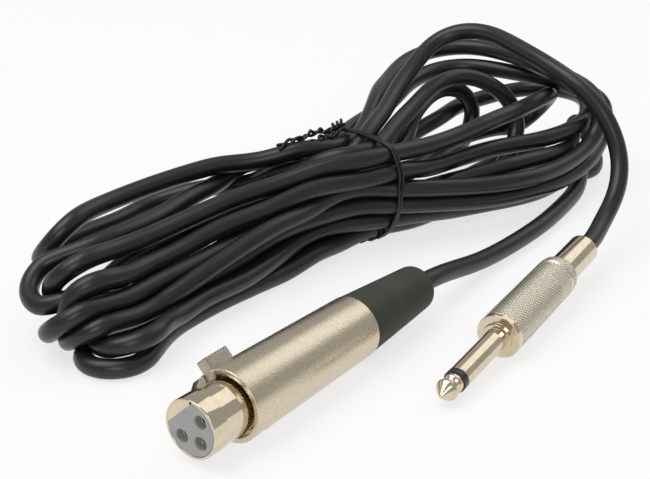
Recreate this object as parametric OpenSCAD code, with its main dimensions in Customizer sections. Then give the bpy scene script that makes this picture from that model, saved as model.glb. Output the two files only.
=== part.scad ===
// Microphone cable with a female XLR connector at one end and a 6.35 mm mono jack at the
// other, wound into a long hank and held at the waist by a wire tie.
// Millimetres, +Z up, standing on z = 0. The XLR connector lies along X with its nose towards -X.

/* [XLR connector] */
// Radius of the bright nose that enters the mating connector
nose_r = 7.9; // [7.6:0.05:8.2]
// Length of the nose in front of the shell's shoulder
nose_len = 13; // [11:0.5:16]
// Wall of the nose sleeve
nose_wall = 0.75; // [0.6:0.05:0.9]
// Radius of the shell at its shoulder
shell_front_r = 9.85; // [9.5:0.05:10.5]
// Radius of the shell at its rear end
shell_rear_r = 8.75; // [8.6:0.05:9.4]
// Wall of the shell at its rear end
shell_rear_wall = 0.95; // [0.8:0.05:1.2]
// Length of the shell
shell_len = 51.5; // [46:0.5:58]
// Length of the rubber boot behind the shell
boot_len = 30.5; // [24:0.5:36]
// Radius of the boot where the cable leaves it
boot_end_r = 6.4; // [5.4:0.1:7.2]
// Roll of the latch about the connector's axis, from the +Y side up
latch_roll = 46; // [0:1:90]

/* [XLR contacts] */
// Radius of the circle that the three contacts stand on
contact_circle_r = 4.1; // [3.9:0.05:4.2]
// Radius of the bore that takes the mating pin
contact_bore_r = 1.21; // [1.1:0.01:1.25]
// Wall of each contact tube
contact_wall = 0.4; // [0.3:0.05:0.5]
// Depth of the contact's mouth behind the insert's face
contact_recess = 0.8; // [0.4:0.1:1.5]

/* [Latch] */
// Width of the latch lever and its thumb tab
latch_w = 3.6; // [3:0.1:4]
// Thickness of the lever's arm
latch_arm_t = 0.9; // [0.7:0.05:1]
// Height of the thumb tab above the connector's axis
tab_top = 12.8; // [11.5:0.1:14]
// Length of the thumb tab
tab_len = 8; // [6:0.25:9]
// Height of the catch above the nose's surface
catch_rise = 1.3; // [0.8:0.1:1.4]
// Radius of the latch's hinge pin
hinge_pin_r = 0.6; // [0.5:0.05:0.7]

/* [Jack] */
// Radius of the plug's shaft
shaft_r = 3.175; // [3.15:0.005:3.2]
// Length of the shaft from the collar to the front of the insulating ring
shaft_len = 25; // [23:0.25:27]
// Length of the tip in front of the insulating ring
tip_len = 7.6; // [6.5:0.1:8.5]
// Width of the insulating ring
ring_w = 2.1; // [1.5:0.1:2.6]
// Radius of the knurled barrel at the collar
barrel_front_r = 6.4; // [6.2:0.05:7]
// Radius of the knurled barrel at its rear
barrel_rear_r = 6.15; // [6.1:0.05:6.8]
// Length of the knurled barrel
barrel_len = 38; // [34:0.5:44]
// Radius of the smooth tail behind the barrel
tail_r = 4.5; // [4.2:0.05:5]
// Length of the smooth tail
tail_len = 16.5; // [12:0.5:20]

/* [Cable] */
// Diameter of the cable over its jacket
cable_d = 5.5; // [5:0.1:5.7]
// Diameter of each insulated core inside the connectors
core_d = 1.2; // [0.9:0.1:1.4]

/* [Hank] */
// Distance between the centres of loops that lie side by side
loop_pitch = 6.5; // [6.3:0.1:7]
// Distance between the layers where the hank is open
layer_pitch = 6.4; // [6.3:0.1:7]
// Distance between the layers at the waist, under the tie
waist_layer_pitch = 7.4; // [7.2:0.1:8]
// Distance from the waist to the centre of the right end's bend
right_reach = 75; // [65:1:82]
// Distance from the waist to the centre of the left end's bend
left_reach = 84; // [74:1:94]
// Bend radius of the innermost loop at the right end
right_bend_r = 12; // [12:0.5:16]
// Bend radius of the innermost loop at the left end
left_bend_r = 19; // [14:0.5:22]
// How high the back of the top layer arches over the right end
arch_rise = 18; // [0:1:20]

/* [Wire tie] */
// Diameter of the tie's wire
tie_d = 1.5; // [1.2:0.1:1.8]
// Length of the twisted ends
tie_twist_len = 22; // [14:1:30]

/* [Hidden] */
$fn = 64;
cut = 0.5;
slip = 0.05;
loose = 0.1;

// ---- Where the connectors lie, before the whole is moved to its origin ----
// The XLR shoulder is at x = 0, y = 0.
jack_x = 75.4;
jack_y = -30.4;
jack_turn = 4.9;
jack_tilt = 4;
flange_t = 1.6;
flange_r = barrel_front_r - slip;
xlr_z = shell_front_r;
jack_z = flange_r * cos(jack_tilt);
jack_axis = [cos(jack_tilt) * cos(jack_turn), cos(jack_tilt) * sin(jack_turn), sin(jack_tilt)];
barrel_end = flange_t + barrel_len;
jack_end = barrel_end + tail_len;
tail_chamfer = 0.4;

// Middle of the two connectors' box in plan, which is the part's origin.
function disc_reach(r, axis_part) = r * sqrt(1 - axis_part * axis_part);
plan_x_max = jack_x + jack_end * jack_axis[0] + disc_reach(tail_r - tail_chamfer, jack_axis[0]);
plan_y_min = jack_y - disc_reach(flange_r, jack_axis[1]);
plan_y_max = max(shell_front_r, tab_top * cos(latch_roll) + latch_w / 2 * sin(latch_roll));
origin_x = (plan_x_max - nose_len) / 2;
origin_y = (plan_y_max + plan_y_min) / 2;

module on_floor() translate([-origin_x, -origin_y, 0]) children();

// Inside these, +Z runs from the mating end towards the cable. On the XLR, +Y is the latch side.
module on_xlr() on_floor() translate([0, 0, xlr_z]) rotate([latch_roll, 0, 0]) rotate([0, 90, 0]) children();
module on_jack() on_floor() translate([jack_x, jack_y, jack_z])
    rotate([0, 0, jack_turn]) rotate([0, -jack_tilt, 0]) rotate([0, 90, 0]) children();

function xlr_point(p) =
    [p[2], p[1] * cos(latch_roll) + p[0] * sin(latch_roll),
     xlr_z + p[1] * sin(latch_roll) - p[0] * cos(latch_roll)];
function jack_point(z) = [jack_x, jack_y, jack_z] + z * jack_axis;

// ---- Swept tubes ----
function unit(v) = v / norm(v);
function tangent(p, i) =
    let (last = len(p) - 1)
    i == 0 ? unit(p[1] - p[0])
    : i == last ? unit(p[last] - p[last - 1])
    : unit(unit(p[i] - p[i - 1]) + unit(p[i + 1] - p[i]));
function across(t) = abs(t[2]) < 0.9 ? unit(cross(t, [0, 0, 1])) : unit(cross(t, [1, 0, 0]));
function turned(n, t) = unit(n - (n * t) * t);
function normals(p, i = 0, n = undef) =
    i == len(p) ? []
    : let (t = tangent(p, i), here = i == 0 ? across(t) : turned(n, t))
      concat([here], normals(p, i + 1, here));
function ring_points(p, n, r, sides) =
    [for (i = [0:len(p) - 1])
        let (t = tangent(p, i), b = cross(t, n[i]))
        for (k = [0:sides - 1]) p[i] + r * (cos(360 * k / sides) * n[i] + sin(360 * k / sides) * b)];
function side_faces(rings, sides) =
    [for (i = [0:rings - 2]) for (k = [0:sides - 1])
        let (a = i * sides + k, b = i * sides + (k + 1) % sides)
        for (f = [[a, a + sides, b], [b, a + sides, b + sides]]) f];
function cap_faces(rings, sides) =
    [for (k = [1:sides - 2])
        for (f = [[0, k, k + 1], [(rings - 1) * sides, (rings - 1) * sides + k + 1, (rings - 1) * sides + k]]) f];
module tube(path, r, sides)
    polyhedron(ring_points(path, normals(path), r, sides),
               concat(side_faces(len(path), sides), cap_faces(len(path), sides)));

// Least gap between a tube's surface and itself, on points along its path. Points nearer than
// "apart" steps along the path aren't compared.
function fine_points(p, steps) =
    [for (i = [0:len(p) - 2]) for (k = [0:steps - 1]) p[i] + (p[i + 1] - p[i]) * k / steps];
function least_gap(p, d, apart) =
    min([for (i = [0:len(p) - 1 - apart]) min([for (j = [i + apart:len(p) - 1]) norm(p[i] - p[j])])]) - d;

// ---- XLR connector ----
nose_relief = 0.2;
nose_back_r = nose_r - nose_relief;
shell_bore_r = nose_back_r + loose;
shell_chamfer = 0.5;
shell_rear_bore_r = shell_rear_r - shell_rear_wall;
shell_rear_chamfer = min(0.4, shell_rear_wall / 2);
sleeve_in_r = nose_r - nose_wall;
sleeve_end = 18;
bore_change_z = sleeve_end + 1;
face_t = 1;
face_flat_y = 4.75;
insert_front = -nose_len + 0.3;
insert_end = 13;
insert_low_y = 4;
insert_step_z = -8.8;
contact_r = contact_bore_r + contact_wall;
contact_front = insert_front + contact_recess;
contact_bore_len = 10;
contact_end = 17;
cup_len = 4;
cup_wall = 0.5;
CONTACTS = [[-contact_circle_r, 0], [contact_circle_r, 0], [0, -contact_circle_r]];

arm_y = 6.3;
arm_front = -7.5;
hinge_y = 6.2;
hinge_z = 15.5;
hinge_pin_len = 6.8;
boss_r = hinge_pin_r + 0.65;
tab_front = 0.8;
tab_notches = 5;
notch_r = 0.45;
catch_w = latch_w - 0.8;
catch_back = -2.5;
latch_side_gap = 0.25;
slot_w = latch_w + 2 * latch_side_gap;
slot_front = arm_front - 0.8;
window_end = tab_front + tab_len + 0.9;

screw_z = 5;
screw_r = 1.2;
screw_head_r = 2;
screw_head_t = 0.8;
screw_in_y = -6.1;
screw_head_y = -shell_front_r + 1.3;

boot_neck = shell_len - 6.5;
clamp_len = 6;
clamp_to = boot_neck - 1;
clamp_from = clamp_to - clamp_len;
clamp_slit = 1.2;
cable_r = cable_d / 2;
xlr_cable_end = clamp_from - 2;
boot_end = shell_len + boot_len;
boot_round = 1.4;

// Cuts a slot from the axis out through the latch side.
module top_slot(w, z_from, z_to) translate([-w / 2, 0, z_from]) cube([w, 2 * shell_front_r, z_to - z_from]);

// The die-cast shell, open at the front rim where the thumb tab stands.
module xlr_shell() color("#b9ad9a") on_xlr() difference() {
    rotate_extrude() polygon([
        [shell_bore_r, 0], [shell_front_r - shell_chamfer, 0], [shell_front_r, shell_chamfer],
        [shell_rear_r, shell_len - shell_rear_chamfer], [shell_rear_r - shell_rear_chamfer, shell_len],
        [shell_rear_bore_r, shell_len], [shell_rear_bore_r, bore_change_z + 1], [shell_bore_r, bore_change_z]]);
    top_slot(slot_w, -cut, window_end);
    translate([0, 0, screw_z]) rotate([90, 0, 0]) cylinder(r = screw_r + loose, h = shell_front_r + cut);
    translate([0, screw_head_y, screw_z]) rotate([90, 0, 0]) cylinder(r = screw_head_r + loose, h = 5);
}

// The bright nose sleeve, with the flat plate across its mouth and the latch's slot along the top.
// Behind the front band, which guides the mating shell, it is relieved a little.
module xlr_nose() color("#d8cbb4") on_xlr() difference() {
    union() {
        difference() {
            union() {
                translate([0, 0, -nose_len]) cylinder(r = nose_r, h = nose_len + slot_front);
                translate([0, 0, -nose_len]) cylinder(r = nose_back_r, h = nose_len + sleeve_end);
            }
            translate([0, 0, -nose_len - cut]) cylinder(r = sleeve_in_r, h = nose_len + sleeve_end + 2 * cut);
        }
        intersection() {
            translate([0, 0, -nose_len]) cylinder(r = nose_r - nose_wall / 2, h = face_t);
            translate([-nose_r, face_flat_y, -nose_len]) cube([2 * nose_r, nose_r, face_t]);
        }
    }
    top_slot(slot_w, slot_front, sleeve_end + cut);
    translate([0, hinge_y, hinge_z]) rotate([0, 90, 0])
        cylinder(r = hinge_pin_r + slip / 2, h = 2 * nose_r + 2, center = true);
    translate([0, 0, screw_z]) rotate([90, 0, 0]) cylinder(r = screw_r + loose, h = nose_r + cut);
}

// The moulded insert that carries the contacts, cut flat under the latch.
module xlr_insert() color("#8d8f90") on_xlr() difference() {
    translate([0, 0, insert_front]) cylinder(r = sleeve_in_r - slip, h = insert_end - insert_front);
    translate([-nose_r, face_flat_y - slip, insert_front - cut]) cube([2 * nose_r, nose_r, insert_end + nose_len]);
    translate([-nose_r, insert_low_y, insert_step_z]) cube([2 * nose_r, nose_r, insert_end + nose_len]);
    for (c = CONTACTS) translate([c[0], c[1], insert_front - cut])
        cylinder(r = contact_r + slip, h = insert_end - insert_front + 2 * cut);
    translate([0, screw_in_y, screw_z]) rotate([90, 0, 0]) cylinder(r = screw_r + slip, h = 5);
}

// One socket contact: a tube for the mating pin, and a cup at the rear for its core.
module contact(i) color("#c9b98f") on_xlr() translate([CONTACTS[i][0], CONTACTS[i][1], 0]) difference() {
    translate([0, 0, contact_front]) cylinder(r = contact_r, h = contact_end - contact_front);
    translate([0, 0, contact_front - cut]) cylinder(r = contact_bore_r, h = contact_bore_len + cut);
    translate([0, 0, contact_end - cup_len]) cylinder(r = contact_r - cup_wall, h = cup_len + cut);
}
module xlr_contact_1() contact(0);
module xlr_contact_2() contact(1);
module xlr_contact_3() contact(2);

module along_x(w) rotate([90, 0, 90]) linear_extrude(height = w, center = true) children();

// The sprung lever: thumb tab, catch and arm in one piece, turning on the pin behind the tab.
module xlr_latch() color("#a99c84") on_xlr() difference() {
    union() {
        translate([-latch_w / 2, arm_y, arm_front]) cube([latch_w, latch_arm_t, hinge_z - arm_front]);
        translate([0, hinge_y, hinge_z]) rotate([0, 90, 0]) cylinder(r = boss_r, h = latch_w, center = true);
        along_x(catch_w) polygon([
            [arm_y + latch_arm_t / 2, arm_front], [nose_r + catch_rise, catch_back - 1.2],
            [nose_r + catch_rise, catch_back], [arm_y + latch_arm_t / 2, catch_back]]);
        along_x(latch_w) polygon([
            [arm_y + latch_arm_t / 2, tab_front], [tab_top - 0.4, tab_front], [tab_top, tab_front + 1],
            [tab_top, tab_front + tab_len], [arm_y + latch_arm_t / 2, tab_front + tab_len]]);
    }
    translate([0, hinge_y, hinge_z]) rotate([0, 90, 0])
        cylinder(r = hinge_pin_r + slip, h = latch_w + 2 * cut, center = true);
    for (i = [1:tab_notches])
        translate([0, tab_top + notch_r / 4, tab_front + 0.4 + i * (tab_len - 0.4) / (tab_notches + 1)])
            rotate([0, 90, 0]) cylinder(r = notch_r, h = latch_w + 2 * cut, center = true, $fn = 24);
}

// The hinge pin, held in both cheeks of the nose sleeve.
module xlr_latch_pin() color("#8f8f8f") on_xlr()
    translate([0, hinge_y, hinge_z]) rotate([0, 90, 0])
        cylinder(r = hinge_pin_r, h = hinge_pin_len, center = true);

// The coil spring between the insert and the lever's arm.
spring_wire_d = 0.3;
spring_r = 1.1;
spring_z = 10.8;
spring_turns = 2.25;
spring_low = insert_low_y + spring_wire_d / 2 + 0.02;
spring_high = arm_y - spring_wire_d / 2 - 0.35;
module xlr_latch_spring() color("#9c9c9c") on_xlr()
    tube([for (k = [0:8 * spring_turns])
            [spring_r * cos(45 * k), spring_low + (spring_high - spring_low) * k / (8 * spring_turns),
             spring_z + spring_r * sin(45 * k)]],
         spring_wire_d / 2, 6);

// The screw that holds the insert and its sleeve in the shell, on the side away from the latch.
module xlr_set_screw() color("#6f6f6f") on_xlr() difference() {
    union() {
        translate([0, screw_in_y - slip, screw_z]) rotate([90, 0, 0])
            cylinder(r = screw_r, h = -screw_head_y + screw_in_y);
        translate([0, screw_head_y - slip, screw_z]) rotate([90, 0, 0])
            cylinder(r = screw_head_r, h = screw_head_t);
    }
    translate([-screw_head_r, screw_head_y - screw_head_t - 0.4, screw_z - 0.25])
        cube([2 * screw_head_r, 0.75, 0.5]);
}

// The split collar that grips the cable's jacket inside the shell.
module xlr_cable_clamp() color("#3a3a3a") on_xlr() difference() {
    translate([0, 0, clamp_from]) cylinder(r = shell_rear_bore_r - slip, h = clamp_to - clamp_from);
    translate([0, 0, clamp_from - cut]) cylinder(r = cable_r + loose, h = clamp_to - clamp_from + 2 * cut);
    top_slot(clamp_slit, clamp_from - cut, clamp_to + cut);
}

// The rubber boot: a neck held inside the shell and a tapered tail with a rounded end.
module xlr_boot() color("#3b3f3c") on_xlr() rotate_extrude() polygon(concat(
    [[cable_r + loose, boot_neck], [shell_rear_bore_r - loose, boot_neck],
     [shell_rear_bore_r - loose, shell_len + slip],
     [shell_rear_r - 0.2, shell_len + slip]],
    [for (a = [0:15:90])
        [boot_end_r - boot_round + boot_round * cos(a), boot_end - boot_round + boot_round * sin(a)]],
    [[cable_r + loose, boot_end]]));

// The three insulated cores, from the end of the jacket to the contacts' cups.
core_spread = 1.2;
core_in = 14;
module xlr_cores() color("#a33a2c") on_floor() for (i = [0:2])
    let (c = CONTACTS[i], s = unit(c) * core_spread)
    tube([for (q = [[0, s], [0.2, s], [0.5, (s + c) / 2], [0.8, c], [1, c]])
            xlr_point([q[1][0], q[1][1], xlr_cable_end - loose - q[0] * (xlr_cable_end - loose - core_in)])],
         core_d / 2, 8);

// ---- Jack ----
rod_r = 1.2;
rod_end = 11.6;
shaft_bore_r = 2.2;
tip_r = 3.1;
land_r = 2.85;
groove_r = 2.1;
boss_step_r = 4.2;
boss_step_t = 1.2;
thread_r = 5.3;
thread_end = 9;
washer_t = 1;
washer_r = 4.1;
liner_in_r = 5.2;
liner_out_r = 5.5;
barrel_bore_r = 5.6;
barrel_bore_end = barrel_end - 1.5;
crimp_len = 4.5;
crimp_to = barrel_bore_end - 0.6;
crimp_from = crimp_to - crimp_len;
jack_cable_end = crimp_from - 1.5;
liner_end = jack_cable_end - 0.5;
crimp_t = 0.6;
crimp_slit = 2.4;
strip_w = 3.2;
strip_in_y = washer_r + slip;
lug_w = 2.4;
lug_y = 3;
lug_t = 0.5;

// The tip and the rod behind it, in one turned piece.
module jack_tip() color("#dccfb6") on_jack() rotate_extrude() polygon([
    [0, -shaft_len - tip_len], [0.45, -shaft_len - tip_len + 0.1], [tip_r - 0.1, -shaft_len - tip_len + 3.2],
    [tip_r, -shaft_len - tip_len + 3.4], [tip_r, -shaft_len - tip_len + 3.9], [groove_r, -shaft_len - 2.6],
    [groove_r, -shaft_len - 2.1], [land_r, -shaft_len - 1.4], [land_r, -shaft_len - slip],
    [rod_r, -shaft_len - slip], [rod_r, rod_end], [0, rod_end]]);

// The black ring behind the tip, and the sleeve that keeps the rod from the shaft.
module jack_insulator() color("#1d1d1f") on_jack() difference() {
    union() {
        translate([0, 0, -shaft_len]) cylinder(r = shaft_r, h = ring_w);
        translate([0, 0, -shaft_len + ring_w])
            cylinder(r = shaft_bore_r - slip, h = shaft_len - ring_w + thread_end);
    }
    translate([0, 0, -shaft_len - cut]) cylinder(r = rod_r + slip, h = shaft_len + thread_end + 2 * cut);
}

// The hollow shaft, its step and flange, and the neck that the barrel screws onto.
module jack_sleeve() color("#d8cbb4") on_jack() difference() {
    union() {
        translate([0, 0, -shaft_len + ring_w]) cylinder(r = shaft_r, h = shaft_len - ring_w + cut);
        translate([0, 0, -boss_step_t]) cylinder(r = boss_step_r, h = boss_step_t + cut);
        cylinder(r = flange_r, h = flange_t);
        cylinder(r = thread_r, h = thread_end);
    }
    translate([0, 0, -shaft_len]) cylinder(r = shaft_bore_r, h = shaft_len + thread_end + cut);
}

// The fibre washer between the neck and the tip's solder lug.
module jack_washer() color("#26221e") on_jack() difference() {
    translate([0, 0, thread_end + slip]) cylinder(r = washer_r, h = washer_t);
    translate([0, 0, thread_end - cut]) cylinder(r = rod_r + slip, h = washer_t + 2 * cut);
}

// The solder lug on the rod's end.
lug_z = thread_end + washer_t + 2 * slip;
module jack_tip_lug() color("#b59f63") on_jack() difference() {
    union() {
        translate([0, 0, lug_z]) cylinder(r = lug_y, h = lug_t);
        translate([-lug_w / 2, lug_y - lug_t, lug_z]) cube([lug_w, lug_t, 6.5]);
    }
    translate([0, 0, lug_z - cut]) cylinder(r = rod_r + slip, h = 2);
}

// The earth strip: a ring on the neck's rear face, a strip along the barrel, and a crimp round the cable.
module jack_ground_strip() color("#b59f63") on_jack() {
    difference() {
        translate([0, 0, thread_end + slip]) cylinder(r = thread_r - slip, h = crimp_t);
        translate([0, 0, thread_end - cut]) cylinder(r = washer_r + slip, h = 2);
    }
    translate([-strip_w / 2, -strip_in_y - crimp_t, thread_end + slip])
        cube([strip_w, crimp_t, crimp_to - thread_end - slip]);
    translate([-strip_w / 2, -strip_in_y - crimp_t / 2, crimp_from])
        cube([strip_w, strip_in_y - cable_r, crimp_t]);
    difference() {
        translate([0, 0, crimp_from]) cylinder(r = cable_r + loose + crimp_t, h = crimp_to - crimp_from);
        translate([0, 0, crimp_from - cut]) cylinder(r = cable_r + loose, h = crimp_to - crimp_from + 2 * cut);
        top_slot(crimp_slit, crimp_from - cut, crimp_to + cut);
    }
}

// The barrel: a knurled cover that screws onto the neck, and a smooth tail for the cable.
module jack_barrel() color("#c8baa2") on_jack() rotate_extrude() polygon([
    [thread_r + slip, flange_t + slip], [barrel_front_r - 0.3, flange_t + slip], [barrel_front_r, flange_t + 0.35],
    [barrel_rear_r, barrel_end - 1.6], [barrel_rear_r - 1.1, barrel_end], [tail_r, barrel_end],
    [tail_r, jack_end - tail_chamfer], [tail_r - tail_chamfer, jack_end], [cable_r + 2 * loose, jack_end],
    [cable_r + 2 * loose, barrel_bore_end], [barrel_bore_r, barrel_bore_end],
    [barrel_bore_r, thread_end + 0.5], [thread_r + slip, thread_end + 0.5]]);

// The paper liner that keeps the wiring off the barrel.
module jack_liner() color("#cfc9b8") on_jack() difference() {
    translate([0, 0, lug_z]) cylinder(r = liner_out_r, h = liner_end - lug_z);
    translate([0, 0, lug_z - cut]) cylinder(r = liner_in_r, h = liner_end - lug_z + 2 * cut);
}

// The tip's core and the twisted screen, from the end of the jacket to the lug and the earth strip.
tip_core_y = lug_y + loose + core_d / 2;
screen_y = strip_in_y - loose - core_d / 2;
module jack_cores() color("#a33a2c") on_jack() {
    z = jack_cable_end;
    tube([[0, 0.9, z - loose], [0, 0.9, z - 3.5], [0, tip_core_y - 1.5, z - 8.5], [0, tip_core_y, z - 12.5],
          [0, tip_core_y, lug_z + 3.4]], core_d / 2, 8);
    tube([[0, -1.2, z - loose], [0, -1.4, z - 2.5], [0, 0.6 - screen_y, z - 6.5], [0, -screen_y, z - 10.5],
          [0, -screen_y, lug_z + 4.9]], core_d / 2, 8);
}

// ---- Cable: the hank ----
// Within it, u runs along the hank from the waist, v across it towards the back and w up.
loops_in_layer = 2;
layers = 4;
waist_x = 117;
waist_y = 46;
hank_turn = -11;
lobe_shift = [-4, 1];
waist_half = 3.5;
lift = tie_d + 0.3;
left_rise = 2;
arch_len = right_reach + right_bend_r + 10;

// Rings along a run between two bends, as shares of the right reach, then of the left one. The last
// turn stops a few rings short, at the waist.
RUN = [1, 0.76, 0.5, 0.24, 0.05, -0.1, -0.55, -1];
bend_steps = 5;
run_steps = len(RUN) - 1;
rings_in_turn = 2 * (bend_steps + run_steps);
rings_short = 4;
last_ring = loops_in_layer * layers * rings_in_turn - rings_short;

function ease(t) = let (x = max(0, min(1, t))) x * x * (3 - 2 * x);
function from_hank(p) =
    [waist_x + p[0] * cos(hank_turn) - p[1] * sin(hank_turn),
     waist_y + p[0] * sin(hank_turn) + p[1] * cos(hank_turn), p[2]];

// Loops spiral in through one layer and out through the next.
function spread(turn) = abs(turn % (2 * loops_in_layer) - loops_in_layer) * loop_pitch;
// A loop climbs to the next layer in the half turn round each reversal.
function layer(turn) =
    let (climbs = [for (k = [1:layers - 1]) ease((turn - k * loops_in_layer + 0.25) / 0.5)])
    climbs * [for (c = climbs) 1];

// One turn is a bend at the right end, the back run, a bend at the left end and the front run.
// Result: [u, v, share of the back side], for a loop that lies s outside the innermost one.
function bend_point(side, reach, r, shift, a) = [side * reach + r * cos(a), shift + r * sin(a), (1 + sin(a)) / 2];
function run_point(share, side, s) =
    let (end = share > 0 ? 0 : 1,
         bend_r = [right_bend_r, left_bend_r][end],
         open = ease(abs(share)))
    [share * [right_reach, left_reach][end],
     side * (waist_half + (bend_r - waist_half) * open + s) + lobe_shift[end] * open, (side + 1) / 2];
function turn_point(i, s) =
    let (half = bend_steps + run_steps, j = i % half, a = 180 * min(j, bend_steps) / bend_steps)
    i < half
        ? (j <= bend_steps ? bend_point(1, right_reach, right_bend_r + s, lobe_shift[0], a - 90)
                           : run_point(RUN[j - bend_steps], 1, s))
        : (j <= bend_steps ? bend_point(-1, left_reach, left_bend_r + s, lobe_shift[1], a + 90)
                           : run_point(RUN[run_steps - j + bend_steps], -1, s));
function hank_point(k) =
    let (turn = (k - bend_steps / 2) / rings_in_turn,
         p = turn_point(k % rings_in_turn, spread(turn)),
         l = layer(turn),
         q = abs(p[0]) / (p[0] > 0 ? right_reach : left_reach),
         pitch = waist_layer_pitch + (layer_pitch - waist_layer_pitch) * ease(q / 0.7),
         arch = p[0] > 0 ? arch_rise * pow(sin(180 * min(1, p[0] / arch_len)), 2) * p[2] : left_rise * ease(q))
    [p[0], p[1], cable_r + lift * (1 - ease(q / 0.7)) + l * pitch + arch * l / (layers - 1)];
HANK = [for (k = [0:last_ring]) from_hank(hank_point(k))];

module cable_hank() color("#1b1b1d") {
    echo(hank_least_gap = least_gap(fine_points(HANK, 3), cable_d, 9));
    on_floor() tube(HANK, cable_r, 6);
}

// ---- Cable: the free leads ----
lead_sides = 10;
join_len = cable_d;
hank_start_dir = unit(HANK[1] - HANK[0]);
hank_end = HANK[len(HANK) - 1];
hank_end_dir = unit(hank_end - HANK[len(HANK) - 2]);

// From the clamp in the XLR connector, along the surface, to the hank's lowest loop.
XLR_LEAD = concat(
    [for (z = [xlr_cable_end, (xlr_cable_end + boot_end) / 2, boot_end]) xlr_point([0, 0, z])],
    [[92, 0, 9.2], [104, -1, 7], [118, -1, 4.5], [132, -0.5, 3.2], [146, 0.5, cable_r], [158, 1, cable_r],
     [169, 1.2, cable_r]],
    [HANK[0] - join_len * hank_start_dir, HANK[0]]);

// From the waist, in a high arch over the right end, and down to the crimp in the jack.
JACK_LEAD = concat(
    [hank_end, hank_end + join_len * hank_end_dir],
    [[130, 27.5, 31], [140, 27.8, 37.5], [151, 31, 44], [163, 36.5, 49], [175, 40, 52], [183, 38, 53],
     [188.5, 31.5, 51.5], [191.5, 23.5, 47], [192, 14.5, 40.5], [192.5, 5.5, 33], [191, -4, 25], [186, -11, 19],
     [177, -17, 15], [165, -21, 12.8], [152, -23.7, 11.7]],
    [for (z = [jack_end + 10, jack_end, (jack_end + jack_cable_end) / 2, jack_cable_end]) jack_point(z)]);

module cable_xlr_lead() color("#1b1b1d") on_floor() tube(XLR_LEAD, cable_r, lead_sides);
module cable_jack_lead() color("#1b1b1d") on_floor() tube(JACK_LEAD, cable_r, lead_sides);

// ---- Wire tie ----
// Two turns of wire round the waist, with both ends twisted together along the top of the hank.
tie_r = tie_d / 2;
tie_gap = 0.3;
tie_turns = 2;
tie_turn_pitch = tie_d + 0.6;
wrap_r = cable_r + tie_gap + tie_r;
wrap_half = waist_half + (loops_in_layer - 0.25) * loop_pitch;
wrap_low = cable_r + lift;
wrap_high = wrap_low + (layers - 1) * waist_layer_pitch;
wrap_top = wrap_high + wrap_r;
twist_v = 0.6 * wrap_half;
twist_r = tie_r + 0.4;
twist_curl_len = 5.5;
twist_rings = 8;

// Twenty-four points round the bundle: five on each corner and one on each side.
function wrap_point(i) =
    let (corner = floor(i / 6), j = i % 6,
         centre = [[-wrap_half, wrap_high], [-wrap_half, wrap_low], [wrap_half, wrap_low], [wrap_half, wrap_high]],
         next = (corner + 1) % 4,
         a = 90 + 90 * corner + 22.5 * j,
         side = 180 + 90 * corner)
    j < 5 ? centre[corner] + wrap_r * [cos(a), sin(a)]
    : (centre[corner] + centre[next]) / 2 + wrap_r * [cos(side), sin(side)];
wrap_u = -tie_turns * tie_turn_pitch / 2;
WRAP = [for (k = [0:24 * tie_turns - 2])
    let (p = wrap_point(k % 24)) [wrap_u + tie_turn_pitch * (k + 2) / 24, p[0], p[1]]];

// One wire of the twist, from the waist to its tip.
twist_count = round(twist_rings * tie_twist_len / twist_curl_len);
function twist_point(k, phase) =
    let (a = phase + 360 * k / twist_rings, t = k / twist_count)
    [wrap_u - 2.5 - tie_twist_len * t, twist_v + 1.5 + 2 * t + twist_r * cos(a),
     wrap_top + 1.6 - 0.6 * t + twist_r * sin(a)];
TIE = [for (p = concat(
    [for (k = [twist_count:-1:0]) twist_point(k, 270)],
    [[wrap_u, twist_v, wrap_top]],
    WRAP,
    [[-wrap_u, 0.8 * wrap_half, wrap_top + 0.4], [-wrap_u - 0.6, twist_v + 1, wrap_top + 1.9],
     [wrap_u + 1.1, twist_v + 1.3, wrap_top + 2.6]],
    [for (k = [0:twist_count]) twist_point(k, 90)])) from_hank(p)];

module twist_tie() color("#0f0f10") {
    echo(tie_least_gap = least_gap(fine_points(TIE, 3), tie_d, 18));
    on_floor() tube(TIE, tie_r, 6);
}

xlr_shell();
xlr_nose();
xlr_insert();
xlr_contact_1();
xlr_contact_2();
xlr_contact_3();
xlr_latch();
xlr_latch_pin();
xlr_latch_spring();
xlr_set_screw();
xlr_cable_clamp();
xlr_boot();
xlr_cores();
jack_tip();
jack_insulator();
jack_sleeve();
jack_washer();
jack_tip_lug();
jack_ground_strip();
jack_barrel();
jack_liner();
jack_cores();
cable_xlr_lead();
cable_hank();
cable_jack_lead();
twist_tie();
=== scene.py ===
import math

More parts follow.
